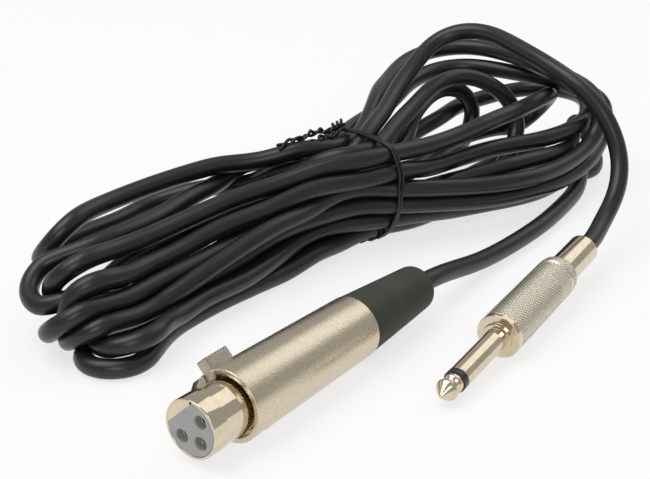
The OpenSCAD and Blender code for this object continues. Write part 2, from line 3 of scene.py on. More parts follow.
import bmesh
import bpy
import numpy as np
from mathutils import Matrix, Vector


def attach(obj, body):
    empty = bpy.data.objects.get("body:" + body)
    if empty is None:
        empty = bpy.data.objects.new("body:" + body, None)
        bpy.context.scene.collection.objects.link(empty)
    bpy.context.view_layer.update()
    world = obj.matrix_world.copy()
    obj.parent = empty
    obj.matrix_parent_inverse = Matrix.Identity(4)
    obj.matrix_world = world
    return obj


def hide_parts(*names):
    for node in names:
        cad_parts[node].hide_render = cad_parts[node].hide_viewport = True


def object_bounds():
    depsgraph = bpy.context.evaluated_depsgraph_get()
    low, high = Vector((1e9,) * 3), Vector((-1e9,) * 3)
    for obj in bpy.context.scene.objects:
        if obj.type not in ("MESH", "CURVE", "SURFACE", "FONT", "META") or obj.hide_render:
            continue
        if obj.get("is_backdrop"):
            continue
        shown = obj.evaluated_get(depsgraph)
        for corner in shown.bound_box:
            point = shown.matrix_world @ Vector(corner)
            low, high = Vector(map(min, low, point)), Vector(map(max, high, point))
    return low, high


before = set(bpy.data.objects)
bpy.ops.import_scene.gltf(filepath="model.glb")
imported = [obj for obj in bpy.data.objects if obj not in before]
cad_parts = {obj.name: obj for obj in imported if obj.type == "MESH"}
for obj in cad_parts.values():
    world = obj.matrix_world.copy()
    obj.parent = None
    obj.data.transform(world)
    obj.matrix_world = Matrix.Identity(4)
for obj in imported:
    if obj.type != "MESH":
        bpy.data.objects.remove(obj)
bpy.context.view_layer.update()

# ---- Camera ----
# A long lens, level from side to side, looking down on the near ends of both connectors.
# TURNED is the way it looks, in degrees from the x axis, and LOWERED how far it looks down.
SENSOR, LENS = 36, 84.42
TURNED, LOWERED = 36.958, 24.48
CAMERA_PLACE = (-0.2984, -0.19604, 0.19826)
camera_data = bpy.data.cameras.new("camera")
camera_data.sensor_width = SENSOR
camera_data.lens = LENS
camera_data.clip_start = 0.02
camera_data.clip_end = 20
camera = bpy.data.objects.new("camera", camera_data)
camera.location = CAMERA_PLACE
camera.rotation_euler = (math.radians(90 - LOWERED), 0, math.radians(TURNED - 90))
bpy.context.scene.collection.objects.link(camera)
bpy.context.scene.camera = camera
bpy.context.scene.view_settings.view_transform = "Standard"

# ---- Cable ----
# Round two-core cable in a soft black PVC jacket, 5.5 mm thick, folded into a hank of eight
# uneven loops. It runs from the boot of one connector to the tail of the other.
CABLE_R = 2.75
STEP, FINE_STEP = 4.0, 1.4
MM = 0.001
WAIST = Vector((57.695, 59.27, 0))
HANK_TURN = math.radians(-11)
XLR_ORIGIN = Vector((-59.305, 13.27, 9.85))
JACK_ORIGIN = Vector((16.095, -17.13, 6.3345))
JACK_AXIS = Vector((0.993918, 0.0852089, 0.0697565)).normalized()
BOOT_END = 82  # where the cable leaves the boot, along the XLR's axis


def from_hank(u, v, w):
    """A point beside the waist: u along the hank, v towards the back, w above the table."""
    c, s = math.cos(HANK_TURN), math.sin(HANK_TURN)
    return WAIST + Vector((u * c - v * s, u * s + v * c, w))


# The cable's way through the hank, in order, one group for each run between two folds.
ROUTE = [
    # the lead from the boot, out to the right along the table
    (-17.5, -50.5, 9.5), (-10, -48.5, 8), (6, -45.5, 5), (20, -42.5, 3.5), (37.5, -39, 3),
    (53, -35, 3), (67.5, -29.5, 3), (82, -22.5, 3),
    # back under the hank
    (92, -8, 3), (94, 0, 3), (87, 7, 3), (73, 8, 3), (52, 5, 3), (30, 1, 3), (8, -2, 4.5),
    (-8, -2, 5), (-30, -4, 3), (-60, -4.5, 3), (-85, -3.5, 3), (-96, -3, 3), (-103, -5.5, 4.5),
    (-106.5, -12, 7),
    # lowest strand but one on the near side
    (-111.5, -19.5, 8.5), (-109, -22.5, 8.5), (-102, -22, 8.5), (-93, -19.5, 8.5),
    (-81.5, -16, 8.5), (-70, -14.5, 8.5), (-52.5, -11, 8), (-33.5, -6.5, 7.5), (-18, -5, 8.5),
    (-10, -7.5, 9.5), (-3, -9, 9), (5, -11.5, 8.5), (15.5, -12.5, 7), (27.5, -13.5, 5),
    (40.5, -15, 4), (52.5, -18, 3.5), (68, -19, 3), (81, -17, 3),
    # round the right end, back between two strands of the near side
    (90, -15.5, 3), (99, -13, 3.5), (103.5, -11, 6.5), (100.5, -11, 10), (91, -14.5, 12.5),
    (82, -18.5, 14.5), (74, -20.5, 16), (65, -22.5, 17), (55, -22, 17.5), (45, -20.5, 17.5),
    (36, -18.5, 17), (28, -15, 16), (20, -9, 13.5), (8, 0.5, 9.5), (-8, 0.5, 9.5), (-30, 2, 5.5),
    (-60, 4, 3), (-82, 4, 3), (-97, 3, 3), (-106, -2, 4),
    # third strand up on the near side
    (-111.5, -11, 6.5), (-110.5, -14.5, 8), (-107.5, -15.5, 9), (-100, -14.5, 9.5),
    (-93, -13.5, 10), (-87.5, -13.5, 11), (-81, -13.5, 12), (-74, -13, 14), (-66.5, -13, 15.5),
    (-58.5, -11.5, 16.5), (-50.5, -11, 18), (-39.5, -9.5, 19.5), (-26, -7.5, 20), (-14, -7, 20.5),
    (-6.5, -8.5, 20.5), (-1, -11, 20.5), (3.5, -15, 20.5), (11, -18.5, 19), (19, -21, 17.5),
    (28, -24, 16.5), (37.5, -26.5, 15.5), (46.5, -28, 15), (57, -29, 15), (72.5, -26.5, 15.5),
    (83.5, -24.5, 18),
    # over the top, the highest of the far loops
    (88.5, -23.5, 23), (90.5, -21.5, 28), (87, -19, 33), (83.5, -14, 36.5), (82, -6.5, 38),
    (84, 6, 38.5), (84, 18, 38.5), (82, 30, 38), (77, 35, 37.5), (72, 39, 36.5), (65, 39.5, 36),
    (59.5, 39.5, 35), (48.5, 34.5, 34), (35.5, 26, 33), (22.5, 17.5, 32), (12, 10.5, 31),
    (5, 6.5, 30), (-1.5, 4, 29.5), (-11, 5.5, 29), (-19, 10, 28.5), (-26.5, 15, 28),
    (-34.5, 19.5, 27.5), (-47, 23.5, 27), (-61, 24.5, 26.5), (-76, 23.5, 26), (-85.5, 22, 25.5),
    (-93.5, 19.5, 24.5), (-98.5, 19, 22),
    # down round the left end, back under the top strand
    (-100, 21.5, 18), (-99, 25, 15), (-93, 29.5, 13.5), (-84, 35.5, 13), (-74.5, 40, 12.5),
    (-64, 42, 12), (-51, 39.5, 13), (-37, 32, 16.5), (-26, 20.5, 21), (-18, 11.5, 24.5),
    (-9, -3, 28), (0, -4.5, 30), (3.5, -3, 31), (12.5, 1, 31.5), (25.5, 5.5, 32.5),
    (35.5, 9.5, 33.5), (44.5, 13.5, 34.5), (52.5, 15.5, 35), (59.5, 16, 35), (66, 14, 34.5),
    (69.5, 10, 32.5), (72.5, 7, 29), (76, 5.5, 24), (77.5, 5, 19),
    # down through the middle, out along the near bottom edge
    (70, -1, 12), (62, -4, 7), (48, -6, 4), (30, -8, 3.5), (10, -9, 4.5), (-5, -3, 5),
    (-16, -5, 6), (-25.5, -6, 6), (-39.5, -8.5, 4), (-52, -10.5, 3), (-64, -11.5, 3),
    (-79.5, -15, 3), (-88, -17.5, 3), (-94.5, -20, 3), (-101, -22, 3), (-106, -22.5, 3),
    (-110, -20.5, 3),
    # second strand up on the near side
    (-110.5, -13.5, 3), (-105, -9, 3), (-92, -9, 4), (-76, -9.5, 8), (-55, -8.5, 10.5),
    (-38.5, -3.5, 12.5), (-27, -3.5, 13.5), (-17.5, -4.5, 15), (-9, -6.5, 15), (-3, -9, 15),
    (4, -15, 15), (12, -17.5, 13.5), (20, -20.5, 12.5), (29, -23, 11.5), (38, -25.5, 10.5),
    (49, -26.5, 10), (57.5, -27.5, 9.5), (69.5, -26.5, 9), (81, -24, 9.5),
    # the lower far loop and the left-most loop end
    (91.5, -20.5, 12), (98.5, -17.5, 16), (99.5, -15.5, 21), (95.5, -13, 26), (91, -8.5, 29.5),
    (89, -1.5, 31), (86.5, 8, 32), (83, 16.5, 32.5), (79, 26.5, 32.5), (69.5, 32.5, 32),
    (57, 32, 31), (38.5, 25, 30.5), (28, 21.5, 30.5), (2, 10, 29), (-6, 11, 28),
    (-12.5, 17.5, 24.5), (-25, 22, 23), (-47, 19, 22.5), (-71.5, 10.5, 22.5), (-87, 8.5, 23),
    (-94.5, 8, 22), (-99.5, 9, 20), (-104.5, 10, 17.5), (-108, 11, 16),
    # the small loop in the right fan
    (-111, 10.5, 14), (-113.5, 7, 12.5), (-114, 2, 12), (-112, -0.5, 12), (-103, -2, 13.5),
    (-92, 2, 15.5), (-80, 4.5, 17), (-65, 7, 18), (-40, 8, 18.5), (-20, 6, 19.5), (-6, 1, 20),
    (5, 0, 20), (20, 2, 23.5), (42.5, 17.5, 26.5), (50, 20.5, 27.5), (57, 23, 28.5),
    (63.5, 23.5, 28.5), (68, 22.5, 26.5), (71.5, 21, 22), (73.5, 21.5, 17),
    # back inside
    (60, 14, 10.5), (46, 10, 11), (30, 8, 12.5), (14, 7, 14), (2, 6.5, 14), (-8, 6.5, 14),
    (-30, 9, 13.5), (-60, 12, 12), (-85, 9, 8), (-98, 5, 7),
    # the long strand along the top of the near side
    (-108, 3, 12.5), (-110.5, 1, 17), (-109, -0.5, 20.5), (-105, -1, 22), (-99, 0, 22.5),
    (-88.5, 1, 23), (-78, 1, 23.5), (-66.5, 3, 23.5), (-55, 3.5, 24), (-44, 3.5, 25),
    (-34.5, 1, 26), (-25.5, -2.5, 27.5), (-18.5, -5.5, 29), (-11, -8, 29.5), (-4, -9.5, 29.5),
    (2.5, -11, 29.5), (10, -12, 29.5), (18.5, -12.5, 29.5), (28.5, -12, 29), (38.5, -11, 29),
    (50.5, -9.5, 29), (61.5, -8, 28.5), (71.5, -6, 28), (82.5, -1.5, 26),
    # folds under itself, back inside
    (94, 5, 22), (94.5, 6.5, 18.5), (84.5, 5.5, 17.5), (74, 5, 17.5), (63, 6.5, 17.5),
    (49, 7, 17.5), (28, 0, 17), (8, -5.5, 17), (-8, -5.5, 16.5), (-22, -3, 13.5), (-38, -1, 10),
    (-60, -1, 9), (-85, -2, 8.5), (-97, -1, 8.5),
    # the strand below it
    (-110, -2.5, 9.5), (-112.5, -6, 14), (-110.5, -8, 16.5), (-106.5, -8.5, 17.5),
    (-102, -8.5, 18), (-93, -7.5, 18), (-83, -5.5, 18), (-71.5, -3.5, 18.5), (-64, -3, 19),
    (-57, -3.5, 19.5), (-46.5, -4, 20.5), (-38, -5, 22), (-29.5, -6.5, 23), (-18.5, -8, 24),
    (-9, -10.5, 24.5), (-1, -13, 24.5), (7.5, -14.5, 23.5), (17.5, -14, 22.5), (27.5, -12.5, 22),
    (37.5, -12.5, 21), (47.5, -12.5, 21), (55.5, -14, 20.5), (63, -16.5, 20.5), (71, -18.5, 20.5),
    (79.5, -18.5, 21),
    # round the right end, back inside
    (88.5, -17.5, 22), (97.5, -12.5, 23), (103.5, -5, 23), (105, 2.5, 23), (103, 11, 22.5),
    (98, 19.5, 21.5), (75, 24, 20), (60, 21, 20), (40, 16, 20), (18, 9, 20), (4, 7, 20),
    (-8, 7.5, 20), (-30, 13, 16), (-55, 14, 8), (-78, 11, 4), (-93, 10, 3), (-104.5, 3, 3.5),
    # up over the top and round to the jack
    (-113.5, -6, 7.5), (-113.5, -11, 10.5), (-111, -13.5, 12.5), (-106, -13.5, 13),
    (-97.5, -12, 13.5), (-87.5, -11, 13.5), (-80, -10, 14), (-71.5, -8, 14.5), (-63, -6, 15.5),
    (-56, -4.5, 15.5), (-38, -3, 15.5), (-22, 0, 19.5), (-12, 0.5, 25), (-4, 0.5, 29.5),
    (2, 0.5, 30.5), (3.5, 1, 31.5), (11, 5, 32.5), (18.5, 9, 34), (26, 12.5, 36),
    (33.5, 16.5, 38), (41, 19, 40.5), (47.5, 20, 44), (55, 21.5, 47), (59, 19, 49.5),
    (62.5, 15, 51), (65, 6, 51.5), (63.5, -4, 51), (62, -14, 50), (61, -23.5, 48.5),
    (60.5, -32, 46), (61.5, -39, 43), (62.5, -43, 39.5), (62, -47.5, 34.5), (62, -51.5, 28.5),
    (58.5, -55.5, 23.5), (54.5, -58, 18.5), (48.5, -60.5, 15), (43.5, -61, 12.5),
]
inside_boot = [XLR_ORIGIN + Vector((z, 0, 0)) for z in (56, 69, BOOT_END)]
inside_jack = [JACK_ORIGIN + z * JACK_AXIS for z in (66, 56, 44, 32)]
route = np.array([*inside_boot, *(from_hank(*p) for p in ROUTE), *inside_jack])


def smooth_path(points, step, parts=16):
    """One smooth curve through the points, cut into equal steps."""
    ends = np.vstack([2 * points[0] - points[1], points, 2 * points[-1] - points[-2]])
    fine = []
    for a, b, c, d in zip(ends, ends[1:], ends[2:], ends[3:]):
        t1 = np.linalg.norm(b - a) ** 0.5
        t2 = t1 + np.linalg.norm(c - b) ** 0.5
        t3 = t2 + np.linalg.norm(d - c) ** 0.5
        for t in np.linspace(t1, t2, parts + 1)[:-1]:
            ab = (a * (t1 - t) + b * t) / t1
            bc = (b * (t2 - t) + c * (t - t1)) / (t2 - t1)
            cd = (c * (t3 - t) + d * (t - t2)) / (t3 - t2)
            left = (ab * (t2 - t) + bc * t) / t2
            right = (bc * (t3 - t) + cd * (t - t1)) / (t3 - t1)
            fine.append((left * (t2 - t) + right * (t - t1)) / (t2 - t1))
    fine = np.array([*fine, points[-1]])
    along = np.r_[0, np.cumsum(np.linalg.norm(np.diff(fine, axis=0), axis=1))]
    even = np.linspace(0, along[-1], int(round(along[-1] / step)) + 1)
    return np.stack([np.interp(even, along, fine[:, k]) for k in range(3)], 1)


def nearest(x, i, j):
    """Where steps i and j of the cable come nearest to each other, and the way between."""
    p, q = x[i], x[j]
    u, v, w = x[i + 1] - p, x[j + 1] - q, p - q
    uu, uv, vv = (u * u).sum(1), (u * v).sum(1), (v * v).sum(1)
    uw, vw = (u * w).sum(1), (v * w).sum(1)
    s = np.clip((uv * vw - vv * uw) / np.maximum(uu * vv - uv * uv, 1e-9), 0, 1)
    t = np.clip((uv * s + vw) / vv, 0, 1)
    s = np.clip((uv * t - uw) / uu, 0, 1)
    return s, t, p + u * s[:, None] - q - v * t[:, None]


def settle(x, rounds=400, gap=5.65, tight=9.0, back=108.7, held=8):
    """Lets the cable rest: no run inside another or the table, and no bend too tight for it.

    gap is kept between the middles of two runs, tight is the least radius of a bend, and back
    is as far back as the cable may reach. The first and last held points stay where they are.
    """
    hold, last_hold, calm = 0.03, 0.006, 0.8  # pull towards the route, weaker in the last fifth
    stiffness, keep_length, open_bend = 0.025, 0.15, 0.25  # share of each fault mended in a round
    part, part_more = 0.35, 1.6  # how far two runs that touch move apart
    look_every, margin, same_run = 8, 3, 7  # rounds, millimetres and steps
    home = x.copy()
    step = np.linalg.norm(np.diff(x, axis=0), axis=1).mean()
    free = np.ones((len(x), 1))
    free[:held] = free[-held:] = 0
    for turn in range(rounds):
        if turn % look_every == 0:
            middle = (x[:-1] + x[1:]) / 2
            apart = np.linalg.norm(middle[:, None] - middle[None], axis=2)
            i, j = np.nonzero(np.triu(apart < gap + step + margin, same_run))
        x = x + (hold if turn < calm * rounds else last_hold) * (home - x) * free
        wave = np.zeros_like(x)
        wave[2:-2] = x[:-4] - 4 * x[1:-3] + 6 * x[2:-2] - 4 * x[3:-1] + x[4:]
        x = x - stiffness * wave * free
        way = x[1:] - x[:-1]
        size = np.linalg.norm(way, axis=1, keepdims=True)
        pull = keep_length * (size - step) / size * way
        x[:-1] += pull * free[:-1]
        x[1:] -= pull * free[1:]
        s, t, way = nearest(x, i, j)
        size = np.linalg.norm(way, axis=1)
        near = size < gap
        push = part * ((gap - size) / np.maximum(size, 1e-6))[near, None] * way[near]
        total, count = np.zeros_like(x), np.zeros(len(x))
        for k, share, sign in (
            (i[near], 1 - s[near], 1), (i[near] + 1, s[near], 1),
            (j[near], 1 - t[near], -1), (j[near] + 1, t[near], -1),
        ):
            np.add.at(total, k, sign * push * share[:, None])
            np.add.at(count, k, share)
        x = x + part_more * total / np.maximum(count, 1)[:, None] * free
        for k in (1, 2, 3):
            least = 2 * tight * math.sin(min(k * step / tight, math.pi / 2))
            way = x[2 * k:] - x[:-2 * k]
            size = np.linalg.norm(way, axis=1, keepdims=True)
            push = open_bend * np.clip(least - size, 0, None) / np.maximum(size, 1e-6) * way
            x[2 * k:] += push * free[2 * k:]
            x[:-2 * k] -= push * free[:-2 * k]
        x[:, 2] = np.maximum(x[:, 2], CABLE_R)
        x[:, 1] = np.minimum(x[:, 1], back)
    return x


def round_wire(name, radius, resolution):
    """A curve that is thickened into a round wire with closed ends."""
    curve = bpy.data.curves.new(name, "CURVE")
    curve.dimensions = "3D"
    curve.bevel_depth = radius * MM
    curve.bevel_resolution = resolution
    curve.use_fill_caps = True
    return curve


def add_wire(curve, points, closed=False):
    """One run of wire through the points, which are in millimetres."""
    wire = curve.splines.new("POLY")
    wire.points.add(len(points) - 1)
    wire.points.foreach_set("co", np.c_[np.array(points) * MM, np.ones(len(points))].ravel())
    wire.use_cyclic_u = closed
    wire.use_smooth = True


cable_path = settle(smooth_path(route, STEP))
cable_curve = round_wire("cable", CABLE_R, 7)
add_wire(cable_curve, smooth_path(cable_path, FINE_STEP))
cable = bpy.data.objects.new("cable", cable_curve)
bpy.context.scene.collection.objects.link(cable)


def new_material(name, colour, roughness, metallic=0.0, vary=0.0, vary_scale=400.0,
                 grain=0.0, grain_scale=2500.0, rough_vary=0.0, **sockets):
    """A finish with colour that varies a little, uneven gloss and a fine grain."""
    grain_height = 0.0002
    material = bpy.data.materials.new(name)
    material.use_nodes = True
    nodes, links = material.node_tree.nodes, material.node_tree.links
    shader = nodes["Principled BSDF"]
    shader.inputs["Metallic"].default_value = metallic
    for socket, value in sockets.items():
        shader.inputs[socket.replace("_", " ")].default_value = value
    place = nodes.new("ShaderNodeTexCoord")

    def noise(scale, detail):
        n = nodes.new("ShaderNodeTexNoise")
        n.inputs["Scale"].default_value = scale
        n.inputs["Detail"].default_value = detail
        links.new(place.outputs["Object"], n.inputs["Vector"])
        return n

    ramp = nodes.new("ShaderNodeValToRGB")
    ramp.color_ramp.elements[0].position = 0.3
    ramp.color_ramp.elements[1].position = 0.7
    ramp.color_ramp.elements[0].color = (*(c * (1 - vary) for c in colour), 1)
    ramp.color_ramp.elements[1].color = (*(min(c * (1 + vary), 1) for c in colour), 1)
    links.new(noise(vary_scale, 3).outputs["Fac"], ramp.inputs["Fac"])
    links.new(ramp.outputs["Color"], shader.inputs["Base Color"])
    uneven = nodes.new("ShaderNodeMapRange")
    uneven.inputs["To Min"].default_value = max(roughness - rough_vary, 0.02)
    uneven.inputs["To Max"].default_value = roughness + rough_vary
    links.new(noise(vary_scale * 0.6, 2).outputs["Fac"], uneven.inputs["Value"])
    links.new(uneven.outputs["Result"], shader.inputs["Roughness"])
    if grain:
        bump = nodes.new("ShaderNodeBump")
        bump.inputs["Strength"].default_value = grain
        bump.inputs["Distance"].default_value = grain_height
        links.new(noise(grain_scale, 2).outputs["Fac"], bump.inputs["Height"])
        links.new(bump.outputs["Normal"], shader.inputs["Normal"])
    return material


cable_black = new_material("cable_black", (0.0095, 0.0095, 0.011), 0.34, vary=0.25, vary_scale=120,
                           rough_vary=0.05, grain=0.1, grain_scale=1400, Specular_IOR_Level=0.5)
cable_curve.materials.append(cable_black)
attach(cable, "cable_and_connectors")
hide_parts("cable_hank", "cable_xlr_lead", "cable_jack_lead")

# ---- Twist tie ----
# A doubled length of thin black wire drawn once round the waist. Its ends are twisted
# together and lie crinkled along the top of the hank, and a short end sticks out below.
TIE_R = 0.5
RING_U = 2.0  # the ring's place along the hank
TWIST_LEN, LOW_TWIST_LEN = 24.0, 9
TAILS = ((15, 0.2), (11, -1.2))  # two single ends: how long, and how far each leans back


def to_hank(points):
    """Points as (u, v, w) beside the waist."""
    c, s = math.cos(HANK_TURN), math.sin(HANK_TURN)
    d = np.asarray(points) - np.array(WAIST)
    return np.stack([d[:, 0] * c + d[:, 1] * s, -d[:, 0] * s + d[:, 1] * c, d[:, 2]], 1)


def crossings(u, reach=25):
    """Where the cable passes through the plane across the hank at u, as (v, w)."""
    h = to_hank(cable_path)
    found = []
    for a, b in zip(h[:-1], h[1:]):
        if (a[0] - u) * (b[0] - u) < 0 and -reach < a[1] < reach:
            t = (u - a[0]) / (b[0] - a[0])
            found.append(a[1:] + t * (b[1:] - a[1:]))
    return np.array(found)


def girth(u, proud, count=96):
    """A taut loop round the cable at u, as (v, w) points, clear of the jacket by proud."""
    strands = crossings(u)
    reach = CABLE_R + proud
    angles = np.linspace(0, 2 * math.pi, count, endpoint=False)
    middle = (strands.min(0) + strands.max(0)) / 2
    ways = np.stack([np.cos(angles), np.sin(angles)], 1)
    support = (strands @ ways.T).max(0) + reach
    loop = []
    for way in ways:
        facing = ways @ way
        ahead = facing > 0.05
        loop.append(way * ((support - ways @ middle)[ahead] / facing[ahead]).min() + middle)
    loop = np.array(loop)
    for _ in range(3):
        loop = (np.roll(loop, 1, 0) + 2 * loop + np.roll(loop, -1, 0)) / 4
    return loop


tie = round_wire("tie", TIE_R, 4)
ring = girth(RING_U, TIE_R + 0.1)
turns = np.linspace(0, 2 * math.pi, len(ring), endpoint=False)
for side in (-1, 1):
    wander = 0.35 * np.sin(2 * turns + 1) + 0.12 * side * np.sin(5 * turns)
    offset = RING_U + side * (TIE_R + 0.08) + wander
    add_wire(tie, [from_hank(u, *p) for u, p in zip(offset, ring)], closed=True)
top = ring[np.argmax(ring[:, 1] - 0.25 * np.abs(ring[:, 0] - 9))]
low = ring[np.argmin(ring[:, 1] + 0.3 * ring[:, 0])]
for phase in (0, math.pi):
    wire = []
    for t in np.linspace(0, 1, 221):
        lump = (1 - 0.55 * t) * (0.6 * math.sin(17 * t + 0.5) + 0.4 * math.sin(34 * t + 2)
                                 + 0.2 * math.sin(59 * t + phase))
        sway = 0.8 * math.sin(12 * t + 1) * (1 - t) + 0.25 * math.sin(27 * t + phase)
        wide = (TIE_R + 0.05 + 0.35 * math.sin(8 * t + 0.7) ** 2) * (1 - 0.35 * t)
        a = phase + 2 * math.pi * (2.6 * t + 1.6 * (1 - math.exp(-4 * t)))
        wire.append(from_hank(RING_U - 0.5 - TWIST_LEN * t + 0.5 * sway,
                              top[0] + 3.2 * t + sway + wide * math.cos(a),
                              top[1] + 1.6 - 1.9 * t * t + 0.8 * lump + wide * math.sin(a)))
    add_wire(tie, wire)
for reach, lean in TAILS:
    wire = []
    for t in np.linspace(0, 1, 81):
        wire.append(from_hank(RING_U - 1 - reach * t + 0.5 * math.sin(19 * t),
                              top[0] - 1.6 + (lean + 1.4) * t + 0.6 * math.sin(13 * t + lean),
                              top[1] + 0.9 - 1.4 * t + 0.45 * math.sin(23 * t + lean)))
    add_wire(tie, wire)
for phase in (0, math.pi):
    wire = []
    for t in np.linspace(0, 1, 61):
        a = phase + 2 * math.pi * 1.3 * t
        wide = 0.55 + 0.25 * math.sin(9 * t + phase)
        wire.append(from_hank(RING_U - LOW_TWIST_LEN * t,
                              low[0] + 0.8 * t + wide * math.cos(a),
                              low[1] + 0.9 * t + 0.3 * math.sin(15 * t) + wide * math.sin(a)))
    add_wire(tie, wire)
tie_object = bpy.data.objects.new("twist_tie_wire", tie)
bpy.context.scene.collection.objects.link(tie_object)
tie_black = new_material("tie_black", (0.006, 0.006, 0.007), 0.24, vary=0.2, vary_scale=700,
                         rough_vary=0.08, grain=0.1, grain_scale=3000, Specular_IOR_Level=0.45)
tie.materials.append(tie_black)
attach(tie_object, "cable_and_connectors")
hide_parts("twist_tie")

# ---- XLR shell ----
# A die-cast shell, nickel-plated over a fine blasted grain, tapering to the boot. Its front edge
# is a rounded lip round a shallow groove, and it is slotted on top for the thumb latch.
LATCH_ROLL = math.radians(46)
SHELL_FRONT_R, SHELL_REAR_R, SHELL_BORE_R, SHELL_LEN = 9.85, 8.77, 7.8, 51.5
LIP_R, LIP_DEEP = 8.45, 2.2
SLOT_HALF, SLOT_END = 2.05, 9.7
SCREW_Z, SEAT_R, SEAT_Y, SEAT_DEEP = 5, 2.15, -8.55, 5


def on_xlr(p):
    """A point from the axis: x across the latch, y towards it, z from the nose to the cable."""
    x, y, z = p
    c, s = math.cos(LATCH_ROLL), math.sin(LATCH_ROLL)
    return XLR_ORIGIN + Vector((z, y * c + x * s, y * s - x * c))


def rounded(points):
    """An outline of (r, z) corners, where a third number rounds the corner by that much."""
    done = []
    for k, corner in enumerate(points):
        here = Vector(corner[:2])
        if len(corner) == 2:
            done.append(here)
            continue
        before = Vector(points[k - 1][:2]) - here
        after = Vector(points[(k + 1) % len(points)][:2]) - here
        start = here + before.normalized() * min(corner[2], before.length * 0.49)
        stop = here + after.normalized() * min(corner[2], after.length * 0.49)
        for t in (0, 0.15, 0.32, 0.5, 0.68, 0.85, 1):
            done.append(start * (1 - t) ** 2 + here * 2 * t * (1 - t) + stop * t * t)
    return done


def lathe(points, closed=False, steps=96):
    """A turned shape in millimetres round the z axis."""
    work = bmesh.new()
    verts = [work.verts.new((p[0], 0, p[1])) for p in points]
    pairs = list(zip(verts, verts[1:])) + ([(verts[-1], verts[0])] if closed else [])
    edges = [work.edges.new(pair) for pair in pairs]
    bmesh.ops.spin(work, geom=verts + edges, cent=(0, 0, 0), axis=(0, 0, 1), angle=2 * math.pi,
                   steps=steps, use_merge=True)
    bmesh.ops.remove_doubles(work, verts=work.verts, dist=1e-4)
    bmesh.ops.recalc_face_normals(work, faces=work.faces)
    return work


def block(low, high):
    """A box between two corners, in millimetres."""
    work = bmesh.new()
    bmesh.ops.create_cube(work, size=1)
    for v in work.verts:
        v.co = Vector([(a + b) / 2 + c * (b - a) for a, b, c in zip(low, high, v.co)])
    return work


def as_object(work, name):
    """Turns a worked shape into an object of the scene."""
    mesh = bpy.data.meshes.new(name)
    work.to_mesh(mesh)
    work.free()
    made = bpy.data.objects.new(name, mesh)
    bpy.context.scene.collection.objects.link(made)
    return made


def finished(name, work, place, material, nodes, cuts=(), adds=(), bevel=0.0,
             body="cable_and_connectors", crease=35):
    """Cuts a shape, softens its edges, and puts it in place as a piece."""
    made = as_object(work, name)
    helpers = []
    for kind, others in (("UNION", adds), ("DIFFERENCE", cuts)):
        for other in others:
            helper = as_object(other, name + "_cut")
            helpers.append(helper)
            modifier = made.modifiers.new("cut", "BOOLEAN")
            modifier.operation = kind
            modifier.solver = "EXACT"
            modifier.object = helper
    if bevel:
        modifier = made.modifiers.new("edges", "BEVEL")
        modifier.width = bevel
        modifier.segments = 3
        modifier.limit_method = "ANGLE"
        modifier.angle_limit = math.radians(crease)
    graph = bpy.context.evaluated_depsgraph_get()
    mesh = bpy.data.meshes.new_from_object(made.evaluated_get(graph))
    made.modifiers.clear()
    made.data = mesh
    for helper in helpers:
        bpy.data.objects.remove(helper)
    for v in mesh.vertices:
        v.co = place(v.co) * MM
    mesh.materials.clear()
    mesh.materials.append(material)
    mesh.shade_smooth()
    mesh.set_sharp_from_angle(angle=math.radians(crease))
    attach(made, body)
    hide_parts(*nodes)


satin_nickel = new_material("satin_nickel", (0.66, 0.575, 0.44), 0.25, metallic=1.0, vary=0.14,
                            vary_scale=2600, rough_vary=0.08, grain=0.28, grain_scale=3200)
shell = lathe(rounded([
    (SHELL_BORE_R, LIP_DEEP), (LIP_R, LIP_DEEP, 0.1), (LIP_R, 0, 0.25), (SHELL_FRONT_R, 0, 0.4),
    (SHELL_REAR_R, SHELL_LEN, 0.5), (SHELL_BORE_R, SHELL_LEN)]), closed=True, steps=160)
latch_slot = block((-SLOT_HALF, 0, -1), (SLOT_HALF, 20, SLOT_END))
screw_seat = lathe([(0, 0), (SEAT_R, 0), (SEAT_R, SEAT_DEEP), (0, SEAT_DEEP)])
for v in screw_seat.verts:
    v.co = (v.co.x, SEAT_Y - v.co.z, SCREW_Z + v.co.y)
finished("xlr_shell_casting", shell, on_xlr, satin_nickel,
         cuts=[latch_slot, screw_seat], bevel=0.18, nodes=("xlr_shell",))

# ---- XLR nose ----
# A bright sleeve of thin plated sheet pressed over the insert. It is slotted along the top for
# the latch's arm, and closed by a flat plate across the part of its mouth above the insert.
NOSE_R, NOSE_BACK_R, NOSE_IN_R = 7.9, 7.7, 7.15
NOSE_FRONT, NOSE_STEP, NOSE_END = -13.3, -8.35, 18
ARM_SLOT_LOW, ARM_SLOT_FRONT = 5, -8.3
PLATE_R, PLATE_LOW, PLATE_FRONT, PLATE_BACK = 7.5, 4.75, -13.2, -12
bright_nickel = new_material("bright_nickel", (0.68, 0.585, 0.44), 0.08, metallic=1.0, vary=0.06,
                             vary_scale=500, rough_vary=0.04, grain=0.05, grain_scale=2200)
sleeve = lathe(rounded([
    (NOSE_IN_R, NOSE_FRONT, 0.2), (NOSE_R, NOSE_FRONT, 0.3), (NOSE_R, NOSE_STEP, 0.1),
    (NOSE_BACK_R, NOSE_STEP + 0.1), (NOSE_BACK_R, NOSE_END), (NOSE_IN_R, NOSE_END)]),
    closed=True, steps=128)
plate_half = math.acos(PLATE_LOW / PLATE_R)
plate = bmesh.new()
plate.faces.new([plate.verts.new((PLATE_R * math.sin(a), PLATE_R * math.cos(a), PLATE_FRONT))
                 for a in np.linspace(-plate_half, plate_half, 33)])
moved = bmesh.ops.extrude_face_region(plate, geom=list(plate.faces))
for v in (g for g in moved["geom"] if isinstance(g, bmesh.types.BMVert)):
    v.co.z = PLATE_BACK
bmesh.ops.recalc_face_normals(plate, faces=plate.faces)
arm_slot = block((-SLOT_HALF, ARM_SLOT_LOW, ARM_SLOT_FRONT), (SLOT_HALF, 10, 20))
